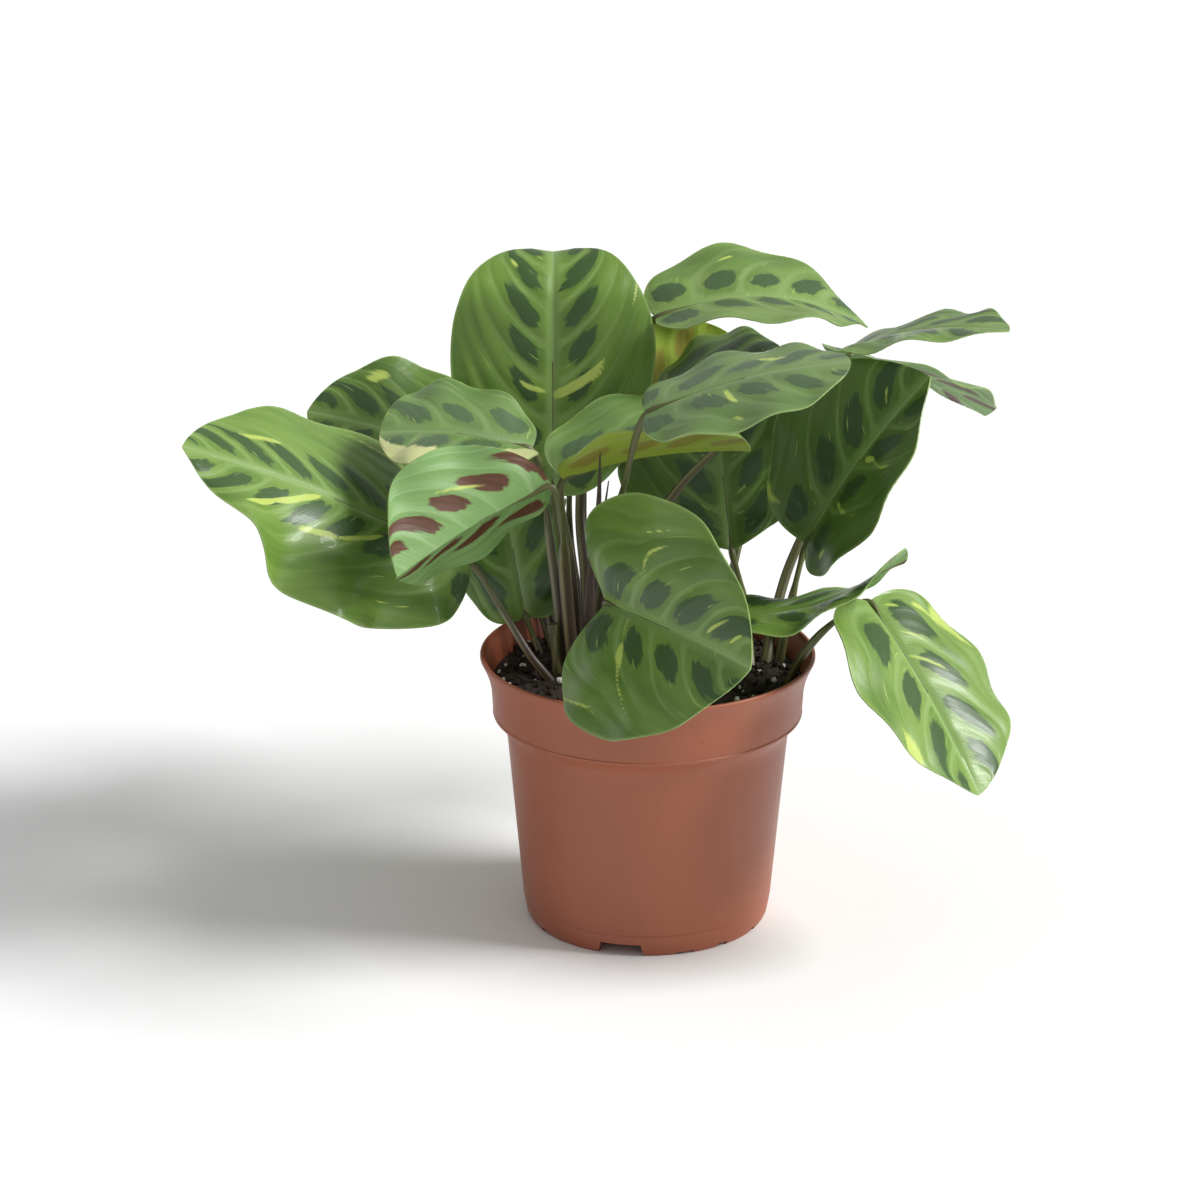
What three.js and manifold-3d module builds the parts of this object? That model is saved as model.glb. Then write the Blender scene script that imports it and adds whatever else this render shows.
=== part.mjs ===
// A potted prayer plant (maranta): a plastic nursery pot, its soil, and two tufts of broad leaves.
// Millimetres, +Z up. The origin is the middle of the pot's underside, on the surface it stands on.
// The plant is seen from -Y, with +X to the right.

import * as THREE from 'three';
import { mergeVertices } from 'three/addons/utils/BufferGeometryUtils.js';
import Module from 'manifold-3d';

const wasm = await Module();
wasm.setup();

// ---- driving dimensions -------------------------------------------------------------------

const POT = {
  height: 100,
  rimRadius: 60,
  collarRadius: 55.5,      // the collar's lower edge
  collarHeight: 23,
  bodyTopRadius: 50.8,
  bodyFootRadius: 44.8,
  footRadius: 42.6,        // the ring it stands on
  footHeight: 5,
  footWidth: 3.2,
  wall: 1.3,
  floor: 1.6,
  padRadius: 9,            // the flat moulding pad in the middle of the underside
  segments: 40,
};
// The collar flares out to the rim: how far below the top, and how far inside the rim's radius.
const FLARE = [
  { drop: 1.2, inset: 0 }, { drop: 4.5, inset: 1.6 }, { drop: 9, inset: 3.2 }, { drop: 13, inset: 4 },
];
const LIP = { round: 0.6, width: 0.9 };
const NOTCH = { width: 14.6, height: 4.6, slope: 1.2, angle: -13 };
const SMALL_NOTCHES = [{ angle: 18, width: 7, height: 1 }, { angle: 38, width: 4.4, height: 1.4 },
  { angle: 61, width: 3, height: 1.8 }];
const NOTCH_REPEAT = 3;
const DRAIN = { count: 6, radius: 4, circle: 25 };

const SOIL = { level: 92, mound: 1.6, drop: 2 };
const GAP = 0.35;          // the clearance that touching pieces keep
const ROOT_DEPTH = 10;

const BLADE = { thickness: 0.66, rows: 10, columns: 6, endHalfWidth: 0.5 };
const PETIOLE = { sides: 6, rings: 9, neck: 1.15, pulvinus: 1.3, sheathShare: 0.62 };
// A petiole ends this far from its blade: it is drawn back from the blade's base step by step.
const SEAT = { clearance: 0.3, step: 0.1, furthest: 3 };

// ---- the leaves ---------------------------------------------------------------------------
// base and tip are the two ends of the blade's chord, and face is where its upper side looks.
// arch lifts the midrib off the chord, sway moves it sideways. fold is how far each half is
// turned up at the midrib, in degrees: left at the base and the tip, right at the base and the tip.
// curl is how much further each half has turned at its margin. lobe pulls the heart-shaped base
// back, widest is the share of the length at the widest place, blunt and point shape the two ends,
// wave is how far the left and right margins ripple and phase where the ripples start, and roll
// bends the end of the blade back, in degrees.
// root is where the petiole leaves the soil, via the points it passes, and sheath its radius there.

const LEAVES = {
  crown: {
    base: [-34, 36, 147], tip: [-34, 50, 244], face: [0, -1, 0.1], width: 74,
    widest: 0.55, point: 0.5, roll: 100,
    root: [-26.5, 9.5], via: [[-29, 20, 118]], sheath: 2.2,
  },
  turned: {
    base: [-34, -40, 175], tip: [-86, -66, 151], face: [-0.1, 1, 0.3], width: 60,
    fold: [45, 25, 30, 50], widest: 0.6,
    root: [-26.5, -3], via: [[-29.5, -13, 134], [-30.5, -42, 163]], sheath: 2.6,
  },
  inner_left: {
    base: [-41, -8, 178], tip: [-94, -8, 184], face: [0.1, -0.4, 1], width: 60,
    fold: [35, 10, 5, 5], widest: 0.55, point: 0.5,
    root: [-29.5, 3], via: [[-34, 2, 134]], sheath: 2.2,
  },
  outer_left: {
    base: [-63, -4, 135], tip: [-160, -43, 190], face: [0.2, -0.5, 1], width: 90,
    fold: [-15, 15, 5, -5], curl: [-40, -15], wave: [8, 1.5], phase: -1,
    root: [-33, -11], via: [[-42, -10, 102], [-52, -6, 118]], sheath: 1.7,
  },
  rear_left: {
    base: [-64, 58, 152], tip: [-124, 60, 171], face: [0, -0.6, 1], width: 70,
    root: [-34, 27], via: [[-45, 42, 118]], sheath: 1.8,
  },
  low_left: {
    base: [-44, 31, 102], tip: [-52, 49, 148], face: [-0.2, -1, 0.3], width: 44, lobe: 15,
    root: [-38, 17], via: [], sheath: 1.5,
  },
  folded: {
    base: [-30, -14, 169], tip: [36, 0, 175], face: [0, 0.3, 1], width: 70,
    fold: [45, 45, 30, 20], root: [-24, 3.2], via: [[-28, -4, 140]], sheath: 2.1,
  },
  front_right: {
    base: [-1, -42, 202], tip: [68, -46, 221], face: [0, -0.1, 1], width: 62,
    fold: [5, -5, -5, -5], curl: [-10, -10], point: 0.5,
    root: [-19, 3.2], via: [[-16, 1, 130], [-13, -12, 150], [-9, -33, 172]], sheath: 2.1,
  },
  top_right: {
    base: [3, 45, 211], tip: [80, 60, 203], face: [0.1, 0, 1], width: 70, arch: 10,
    fold: [20, 15, 5, 5], curl: [-5, -5], point: 1,
    root: [-21, 9.8], via: [[-22, 26, 118], [-24, 44, 138], [-21, 54, 170], [-10, 56, 192]],
    sheath: 2.5,
  },
  mid_rear: {
    base: [3, 66, 176], tip: [51, 66, 191], face: [0, -0.1, 1], width: 60,
    lobe: 10, widest: 0.55, blunt: 0.8,
    root: [16, 44], via: [[12, 62, 138]], sheath: 1.7,
  },
  rear_turned: {
    base: [5, 86, 159], tip: [30, 100, 190], face: [0.1, 1, 0.3], width: 60,
    root: [8, 48], via: [[6, 66, 120], [9.5, 78, 150]], sheath: 1.7,
  },
  tall_right: {
    base: [57, 19, 134], tip: [99, 4, 201], face: [-0.7, -0.6, 0.5], width: 76,
    fold: [20, 20, 25, 25], curl: [-10, -10],
    root: [47, 11], via: [[53, 14, 120]], sheath: 2.1,
  },
  wide_rear: {
    base: [31, 44, 123], tip: [24, 50, 180], face: [0, -1, 0.2], width: 76,
    lobe: 10, widest: 0.6, blunt: 0.7,
    root: [37, 4], via: [[35, 26, 111]], sheath: 2,
  },
  far_upper: {
    base: [70, 52, 195], tip: [127, 13, 215], face: [0, 0, 1], width: 60, arch: 5,
    fold: [10, 5, 10, 5], lobe: 10, widest: 0.4,
    root: [-2, 11], via: [[4, 15, 145], [29, 25, 172], [50, 38, 187]], sheath: 1.8,
  },
  far_lower: {
    base: [74, 82, 186], tip: [128, 111, 154], face: [0.1, 0.2, 1], width: 66,
    root: [42, 7], via: [[50, 28, 118], [65, 45, 150]], sheath: 2,
  },
  low_right: {
    base: [28, -18, 121], tip: [88, -45, 154], face: [-0.2, 0, 1], width: 50, arch: -8,
    fold: [8, -15, 8, 8],
    root: [22, -8], via: [], sheath: 1.6,
  },
  draped: {
    base: [-15, -36, 131], tip: [33, -108, 133], face: [-0.6, -0.5, 0.7], width: 88,
    fold: [55, 30, 0, 0], lobe: 25, widest: 0.42, point: 0.6,
    root: [-7, -1], via: [], sheath: 1.8,
  },
  hanging: {
    base: [78, -12, 123], tip: [115, -56, 67], face: [0.4, -0.7, 0.6], width: 72,
    fold: [5, 5, 25, 30], curl: [-45, -10],
    root: [49.5, -8], via: [[56.5, -14, 106], [65, -13, 115]], sheath: 1.8,
  },
  back_high: {
    base: [-28, 68, 152], tip: [-36, 140, 166], face: [0.1, -0.2, 1], width: 72, arch: 8,
    phase: 1, root: [-22, 33], via: [[-28, 44, 128]], sheath: 1.8,
  },
  back_right: {
    base: [48, 68, 134], tip: [86, 128, 138], face: [-0.1, 0.1, 1], width: 70, arch: 9,
    phase: 2.4, root: [28, 36], via: [[32, 48, 116], [38, 60, 129]], sheath: 1.8,
  },
  back_left: {
    base: [-48, 60, 126], tip: [-84, 122, 112], face: [-0.1, 0.3, 1], width: 68, arch: 9,
    phase: 1.7, root: [-32, 35], via: [[-40, 47, 110]], sheath: 1.7,
  },
};
const LEAF_DEFAULTS = { fold: [8, 8, 8, 8], curl: [-15, -15], arch: 4, sway: 0, lobe: 20,
  widest: 0.5, blunt: 0.5, point: 0.75, wave: [1.5, 1.5], waves: 3, phase: 0, roll: 0,
  rollFrom: 0.72 };

// Rolled young leaves that stand among the stems, and one petiole that was cut off.
const SPIKES = {
  spike_tall: { root: [-21, -3.5], path: [[-20.5, -5, 130], [-17.8, -13, 155], [-17, -24, 182]],
    radius: 2.3, end: 0.35 },
  spike_short: { root: [-17, 9], path: [[-18.6, 8, 125], [-14, 6, 162]], radius: 1.3, end: 0.35 },
  cut_stub: { root: [-32, -4], path: [[-33.5, -2, 111]], radius: 2.2, end: 2.1 },
};

// ---- helpers ------------------------------------------------------------------------------

const radians = THREE.MathUtils.degToRad;
const vector = (point) => new THREE.Vector3(...point);
const lerp = THREE.MathUtils.lerp;
const clamp01 = (value) => THREE.MathUtils.clamp(value, 0, 1);

function material(colour, roughness) {
  return new THREE.MeshStandardMaterial({ color: colour, roughness, metalness: 0 });
}

// A closed geometry as a solid: positions merged, slivers at poles dropped, faces turned outwards.
function toSolid(geometry) {
  const bare = geometry.clone();
  for (const name of ['normal', 'uv']) bare.deleteAttribute(name);
  const merged = mergeVertices(bare, 1e-4);
  const points = merged.attributes.position.array;
  const triangles = [];
  let volume = 0;
  const corner = (i) => new THREE.Vector3().fromArray(points, 3 * i);
  for (let i = 0; i < merged.index.count; i += 3) {
    const [a, b, c] = [0, 1, 2].map((k) => merged.index.getX(i + k));
    if (a === b || b === c || a === c) continue;
    triangles.push([a, b, c]);
    volume += corner(a).dot(corner(b).cross(corner(c)));
  }
  const turned = volume < 0 ? triangles.map(([a, b, c]) => [a, c, b]) : triangles;
  return new wasm.Manifold(new wasm.Mesh({
    numProp: 3,
    vertProperties: new Float32Array(points),
    triVerts: new Uint32Array(turned.flat()),
  }));
}

function toGeometry(solid) {
  const mesh = solid.getMesh();
  const geometry = new THREE.BufferGeometry();
  geometry.setAttribute('position', new THREE.BufferAttribute(mesh.vertProperties, 3));
  geometry.setIndex(new THREE.BufferAttribute(mesh.triVerts, 1));
  geometry.computeVertexNormals();
  return geometry;
}

function namedMesh(name, geometry, finish) {
  const mesh = new THREE.Mesh(geometry, finish);
  mesh.name = name;
  return mesh;
}

function lathe(profile, segments) {
  const points = profile.map(([radius, height]) => new THREE.Vector2(radius, height));
  return new THREE.LatheGeometry(points, segments).rotateX(Math.PI / 2);
}

// An upright prism of a flat outline (x across, y up), pushed out from the axis along -Y.
function radialPrism(outline, from, to, angle) {
  const shape = new THREE.Shape(outline.map(([x, y]) => new THREE.Vector2(x, y)));
  const geometry = new THREE.ExtrudeGeometry(shape, { depth: to - from, bevelEnabled: false });
  return geometry.rotateX(Math.PI / 2).translate(0, -from, 0).rotateZ(radians(angle));
}

// A tube of rings along a smooth path, closed at both ends, with its radius given along it.
function sweep(points, radiusAt, rings, sides) {
  const curve = new THREE.CatmullRomCurve3(points.map(vector), false, 'centripetal');
  const frames = curve.computeFrenetFrames(rings, false);
  const positions = [];
  const index = [];
  for (let i = 0; i <= rings; i += 1) {
    const centre = curve.getPointAt(i / rings);
    for (let k = 0; k < sides; k += 1) {
      const angle = (2 * Math.PI * k) / sides;
      const offset = frames.normals[i].clone().multiplyScalar(Math.cos(angle))
        .addScaledVector(frames.binormals[i], Math.sin(angle)).multiplyScalar(radiusAt(i / rings));
      positions.push(...centre.clone().add(offset).toArray());
      const next = (k + 1) % sides;
      if (i < rings) {
        const [a, b] = [i * sides + k, i * sides + next];
        index.push(a, b, b + sides, a, b + sides, a + sides);
      }
    }
  }
  for (let k = 1; k < sides - 1; k += 1) {
    const last = rings * sides;
    index.push(0, k + 1, k, last, last + k, last + k + 1);
  }
  const geometry = new THREE.BufferGeometry();
  geometry.setAttribute('position', new THREE.Float32BufferAttribute(positions, 3));
  geometry.setIndex(index);
  return geometry;
}

// ---- leaf blades --------------------------------------------------------------------------

// The midrib at share t of the blade's length, with the direction its upper side faces.
function midrib(leaf, t) {
  const base = vector(leaf.base);
  const chord = vector(leaf.tip).sub(base);
  const length = chord.length();
  chord.normalize();
  const face = vector(leaf.face);
  const up = face.addScaledVector(chord, -face.dot(chord)).normalize();
  const side = new THREE.Vector3().crossVectors(chord, up);
  const bend = radians(leaf.roll) + 1e-6;
  const run = (1 - leaf.rollFrom) * length;
  const rolled = Math.max(0, (t - leaf.rollFrom) / (1 - leaf.rollFrom)) * bend;
  const along = Math.min(t, leaf.rollFrom) * length + (Math.sin(rolled) / bend) * run;
  const bow = 4 * t * (1 - t);
  const point = base.addScaledVector(chord, along)
    .addScaledVector(up, bow * leaf.arch - ((1 - Math.cos(rolled)) / bend) * run)
    .addScaledVector(side, bow * leaf.sway);
  return { point, side };
}

// Half the blade's width at share t of its length.
function halfWidth(leaf, t) {
  const skew = Math.log(0.5) / Math.log(leaf.widest);
  const power = lerp(leaf.blunt, leaf.point, t);
  const oval = Math.abs(Math.sin(Math.PI * t ** skew)) ** power;
  return Math.max((leaf.width / 2) * oval, BLADE.endHalfWidth);
}

// A point of the blade's middle surface: t along the midrib, s from -1 (left margin) to 1 (right).
function bladePoint(leaf, t, s) {
  const step = 1e-3;
  const { point, side } = midrib(leaf, t);
  const along = midrib(leaf, t + step).point.sub(midrib(leaf, t - step).point).normalize();
  const across = side.addScaledVector(along, -side.dot(along)).normalize();
  const up = new THREE.Vector3().crossVectors(across, along);
  const right = s >= 0;
  const full = leaf.width / 2;
  const reach = Math.abs(s) * halfWidth(leaf, t);
  const [start, end] = right ? leaf.fold.slice(2) : leaf.fold;
  const fold = radians(lerp(start, end, t));
  const bend = radians(leaf.curl[right ? 1 : 0]) / full + 1e-9;
  const angle = fold + bend * reach;
  const out = (Math.sin(angle) - Math.sin(fold)) / bend;
  const lift = (Math.cos(fold) - Math.cos(angle)) / bend;
  const fade = clamp01(6 * t) * clamp01(5 * (1 - t));
  const ripple = leaf.wave[right ? 1 : 0] * s * s * fade
    * Math.sin(2 * Math.PI * leaf.waves * t + leaf.phase + (right ? 2.2 : 0));
  const back = leaf.lobe * (reach / full) ** 1.3 * (1 - t) ** 3;
  return point.addScaledVector(across, (right ? 1 : -1) * (out - ripple * Math.sin(angle)))
    .addScaledVector(up, lift + ripple * Math.cos(angle))
    .addScaledVector(along, -back);
}

// The blade as a thin closed shell: one grid for each face, split into triangles alike.
function bladeGeometry(leaf) {
  const { rows, columns, thickness } = BLADE;
  const spread = (j) => (2 * j) / columns - 1;
  const grid = [];
  for (let i = 0; i <= rows; i += 1) {
    for (let j = 0; j <= columns; j += 1) grid.push(bladePoint(leaf, i / rows, spread(j)));
  }
  const at = (i, j) => grid[THREE.MathUtils.clamp(i, 0, rows) * (columns + 1)
    + THREE.MathUtils.clamp(j, 0, columns)];
  const positions = [[], []];
  for (let i = 0; i <= rows; i += 1) {
    for (let j = 0; j <= columns; j += 1) {
      const along = at(i + 1, j).clone().sub(at(i - 1, j));
      const across = at(i, j + 1).clone().sub(at(i, j - 1));
      const normal = across.cross(along).normalize().multiplyScalar(thickness / 2);
      positions[0].push(...at(i, j).clone().add(normal).toArray());
      positions[1].push(...at(i, j).clone().sub(normal).toArray());
    }
  }
  const index = [];
  const under = grid.length;
  const quad = (a, b, c, d) => index.push(a, b, c, a, c, d);
  for (let i = 0; i < rows; i += 1) {
    for (let j = 0; j < columns; j += 1) {
      const a = i * (columns + 1) + j;
      const [b, c, d] = [a + 1, a + columns + 2, a + columns + 1];
      quad(a, b, c, d);
      index.push(under + a, under + c, under + b, under + a, under + d, under + c);
    }
  }
  const border = [];
  for (let j = 0; j < columns; j += 1) border.push(j);
  for (let i = 0; i < rows; i += 1) border.push(i * (columns + 1) + columns);
  for (let j = columns; j > 0; j -= 1) border.push(rows * (columns + 1) + j);
  for (let i = rows; i > 0; i -= 1) border.push(i * (columns + 1));
  border.forEach((a, k) => {
    const b = border[(k + 1) % border.length];
    quad(b, a, under + a, under + b);
  });
  const geometry = new THREE.BufferGeometry();
  geometry.setAttribute('position', new THREE.Float32BufferAttribute(positions.flat(), 3));
  geometry.setIndex(index);
  return geometry;
}

// ---- petioles and spikes ------------------------------------------------------------------

// The soil's surface falls a little from the middle towards the wall.
function soilLevel(x, y) {
  const share = Math.hypot(x, y) / POT.bodyTopRadius;
  return SOIL.level + SOIL.mound * (1 - share * share);
}

function rootPoints([x, y]) {
  const level = soilLevel(x, y);
  return [[x, y, level - ROOT_DEPTH], [x, y, level - ROOT_DEPTH / 3]];
}

// Wide in the sheath near the soil, thin above it, and swollen again below the blade.
function petioleRadius(leaf) {
  return (u) => {
    const sheath = lerp(leaf.sheath, 0.72 * leaf.sheath, clamp01(u / PETIOLE.sheathShare));
    const slim = clamp01((u - PETIOLE.sheathShare) / 0.12);
    const joint = clamp01((u - 0.86) / 0.06);
    return lerp(lerp(sheath, PETIOLE.neck, slim), PETIOLE.pulvinus, joint);
  };
}

function spikeRadius(spike) {
  return (u) => lerp(spike.radius, spike.end, clamp01((u - 0.35) / 0.65));
}

function stemSolid(path, radiusAt) {
  return toSolid(sweep(path, radiusAt, PETIOLE.rings, PETIOLE.sides));
}

// A petiole ends on the side that it comes from, as near its blade as the clearance lets it.
function petiole(name, leaf, blade) {
  const points = [...rootPoints(leaf.root), ...leaf.via];
  const base = vector(leaf.base);
  const back = vector(points[points.length - 1]).sub(base).normalize();
  const radiusAt = petioleRadius(leaf);
  const endingAt = (seat) => [...points, base.clone().addScaledVector(back, seat).toArray()];
  const clear = (seat) => stemSolid(endingAt(seat), radiusAt).minGap(blade, 1) >= SEAT.clearance;
  let seat = SEAT.step;
  while (!clear(seat) && seat < SEAT.furthest) seat += SEAT.step;
  const colour = leaf.root[0] > 30 ? 0x5a6a35 : 0x4a3838;
  return { name: `petiole_${name}`, path: endingAt(seat), radiusAt, colour };
}

// Each blade, and each thing that stands in the soil: its name, path, radius along it, and colour.
const blades = {};
const stems = [];
for (const [name, shape] of Object.entries(LEAVES)) {
  const leaf = { ...LEAF_DEFAULTS, ...shape };
  blades[name] = toSolid(bladeGeometry(leaf));
  stems.push(petiole(name, leaf, blades[name]));
}
for (const [name, spike] of Object.entries(SPIKES)) {
  stems.push({ name, path: [...rootPoints(spike.root), ...spike.path], radiusAt: spikeRadius(spike),
    colour: name === 'cut_stub' ? 0x8f8a5a : 0x3d2b2e });
}

// The hole a stem stands in follows the same path, a clearance wider all round.
function stemHole(stem) {
  const [x, y, z] = stem.path[0];
  const widened = (u) => (stem.radiusAt(u) + GAP) / Math.cos(Math.PI / PETIOLE.sides);
  return sweep([[x, y, z - GAP], ...stem.path.slice(1)], widened, PETIOLE.rings, PETIOLE.sides);
}

// ---- pot and soil -------------------------------------------------------------------------

const collarFoot = POT.height - POT.collarHeight;

// How far inside the rim's radius the collar's outer face is, this far below the top.
function collarInset(drop) {
  const k = FLARE.findIndex((place) => place.drop >= drop);
  const [above, below] = [FLARE[k - 1], FLARE[k]];
  return lerp(above.inset, below.inset, (drop - above.drop) / (below.drop - above.drop));
}

function potProfile() {
  const { rimRadius, collarRadius, bodyTopRadius, bodyFootRadius, footRadius, height, wall } = POT;
  const seat = POT.footHeight;
  const inner = footRadius - POT.footWidth;
  const flare = (thick) => FLARE.map(({ drop, inset }) => [rimRadius - inset - thick, height - drop]);
  return [
    [0, seat + POT.floor], [bodyFootRadius - wall - 1.5, seat + POT.floor],
    [bodyFootRadius - wall, seat + POT.floor + 1.5], [bodyTopRadius - wall, collarFoot - 6],
    [collarRadius - wall, collarFoot + 2.5], ...flare(wall).reverse(),
    [rimRadius - LIP.width, height], [rimRadius - LIP.round, height],
    [rimRadius, height - LIP.round], ...flare(0),
    [collarRadius, collarFoot + 2], [collarRadius - 1, collarFoot], [bodyTopRadius, collarFoot - 5],
    [bodyFootRadius, seat + 2.2], [footRadius + 0.8, 1.3], [footRadius, 0],
    [inner, 0], [inner, seat], [0, seat],
  ];
}

function notchOutline(width, height, slope) {
  return [[-width / 2 - slope, -1], [-width / 2, height], [width / 2, height], [width / 2 + slope, -1]];
}

function notches() {
  const cuts = [];
  const [from, to] = [POT.footRadius - POT.footWidth - 2, POT.bodyFootRadius + 2];
  for (let turn = 0; turn < NOTCH_REPEAT; turn += 1) {
    const start = (360 / NOTCH_REPEAT) * turn;
    const outline = notchOutline(NOTCH.width, NOTCH.height, NOTCH.slope);
    cuts.push(radialPrism(outline, from, to, start + NOTCH.angle));
    for (const { angle, width, height } of SMALL_NOTCHES) {
      cuts.push(radialPrism(notchOutline(width, height, 0.3), from, to, start + angle));
    }
  }
  return cuts;
}

function drainHoles() {
  return Array.from({ length: DRAIN.count }, (_, k) => {
    const angle = (2 * Math.PI * (k + 0.5)) / DRAIN.count;
    const hole = new THREE.CylinderGeometry(DRAIN.radius, DRAIN.radius, 4 * POT.floor, 12);
    return hole.rotateX(Math.PI / 2)
      .translate(DRAIN.circle * Math.cos(angle), DRAIN.circle * Math.sin(angle), POT.footHeight);
  });
}

function buildPot() {
  const pad = lathe([[0, 0], [POT.padRadius, 0], [POT.padRadius - 0.8, POT.footHeight + 0.5],
    [0, POT.footHeight + 0.5]], 24);
  let pot = toSolid(lathe(potProfile(), POT.segments)).add(toSolid(pad));
  for (const cut of [...notches(), ...drainHoles()]) pot = pot.subtract(toSolid(cut));
  return pot;
}

function buildSoil() {
  const { wall, bodyFootRadius, bodyTopRadius, collarRadius, rimRadius, height } = POT;
  const low = POT.footHeight + POT.floor;
  const edge = SOIL.level - SOIL.drop;
  const edgeRadius = rimRadius - collarInset(height - edge) - wall;
  const flareFoot = FLARE[FLARE.length - 1];
  const crown = [0.86, 0.55].map((share) => share * edgeRadius);
  const profile = [
    [0, low + GAP], [bodyFootRadius - wall - 1.5 - GAP, low + GAP],
    [bodyFootRadius - wall - GAP, low + 1.5 + GAP], [bodyTopRadius - wall - GAP, collarFoot - 6],
    [collarRadius - wall - GAP, collarFoot + 2.5],
    [rimRadius - flareFoot.inset - wall - GAP, height - flareFoot.drop], [edgeRadius - GAP, edge],
    ...crown.map((radius) => [radius, soilLevel(radius, 0)]), [0, soilLevel(0, 0)],
  ];
  let soil = toSolid(lathe(profile, POT.segments));
  for (const stem of stems) soil = soil.subtract(toSolid(stemHole(stem)));
  return soil;
}

// ---- the whole plant ----------------------------------------------------------------------

const group = new THREE.Group();

group.add(namedMesh('pot', toGeometry(buildPot()), material(0xa8583c, 0.42)));
group.add(namedMesh('soil', toGeometry(buildSoil()), material(0x1f1814, 0.95)));

for (const [name, blade] of Object.entries(blades)) {
  group.add(namedMesh(`blade_${name}`, toGeometry(blade), material(0x4f8a2c, 0.4)));
}

for (const { name, path, radiusAt, colour } of stems) {
  group.add(namedMesh(name, toGeometry(stemSolid(path, radiusAt)), material(colour, 0.55)));
}

export default group;
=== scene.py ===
"""A potted prayer plant: broad variegated leaves on thin stems, in a plastic nursery pot of peat."""

import math
import random

import bpy
import numpy as np
from mathutils import Matrix, Vector, noise


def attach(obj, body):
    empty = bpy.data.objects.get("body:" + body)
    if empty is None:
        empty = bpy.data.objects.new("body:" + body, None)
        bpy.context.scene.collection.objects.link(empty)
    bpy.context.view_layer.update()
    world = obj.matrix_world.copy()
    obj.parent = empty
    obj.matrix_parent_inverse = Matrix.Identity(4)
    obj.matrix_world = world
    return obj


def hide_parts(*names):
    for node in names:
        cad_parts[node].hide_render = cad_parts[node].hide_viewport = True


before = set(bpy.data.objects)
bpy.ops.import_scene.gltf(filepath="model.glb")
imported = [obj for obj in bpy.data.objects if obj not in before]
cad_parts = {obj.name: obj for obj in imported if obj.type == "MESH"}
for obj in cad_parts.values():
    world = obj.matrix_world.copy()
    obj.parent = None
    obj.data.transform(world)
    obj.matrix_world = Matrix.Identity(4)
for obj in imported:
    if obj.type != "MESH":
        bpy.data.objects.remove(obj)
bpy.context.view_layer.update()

MM = 0.001
WHITE = (1.0, 1.0, 1.0)
# The studio: how bright the pale room and the window are, how wide the window's light is, in degrees,
# and where it comes from.
LIGHT = dict(room=0.45, window=3.7, spread=24, towards=(1.0, -0.12, 0.82))
# Light that enters a leaf comes out near by, and reaches furthest in green.
LEAF_GLOW = dict(Subsurface_Weight=0.3, Subsurface_Radius=(0.8, 1.0, 0.25), Subsurface_Scale=0.0012)

# ---- sizes, in millimetres ----------------------------------------------------------------

# The photograph's camera: how far it looks down, how far it is from the middle of the pot's top, and
# how many pixels right of and below the middle of the picture that point shows.
CAMERA = dict(lens=135, sensor=36, picture=1200, down=19.4, distance=1610, pot_top=(47.7, 51))
POT = dict(height=100, rim=60, collar=55.5, collar_height=23, body_top=50.8, body_foot=44.8,
           foot=42.6, foot_height=5, foot_width=3.2, wall=1.3, floor=1.6, pad=9)
# The collar flares out to the rim: how far below the top, and how far inside the rim's radius.
FLARE = [(1.2, 0), (4.5, 1.6), (9, 3.2), (13, 4)]
NOTCHES = [(-13, 14.6, 4.6, 1.2), (18, 7, 1, 0.3), (38, 4.4, 1.4, 0.3), (61, 3, 1.8, 0.3)]
SOIL_LEVEL, SOIL_MOUND, SOIL_DROP, ROOT_DEPTH = 92, 1.6, 2, 10
BLADE_ROWS, BLADE_COLUMNS, BLADE_THICKNESS = 110, 64, 0.5

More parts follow.
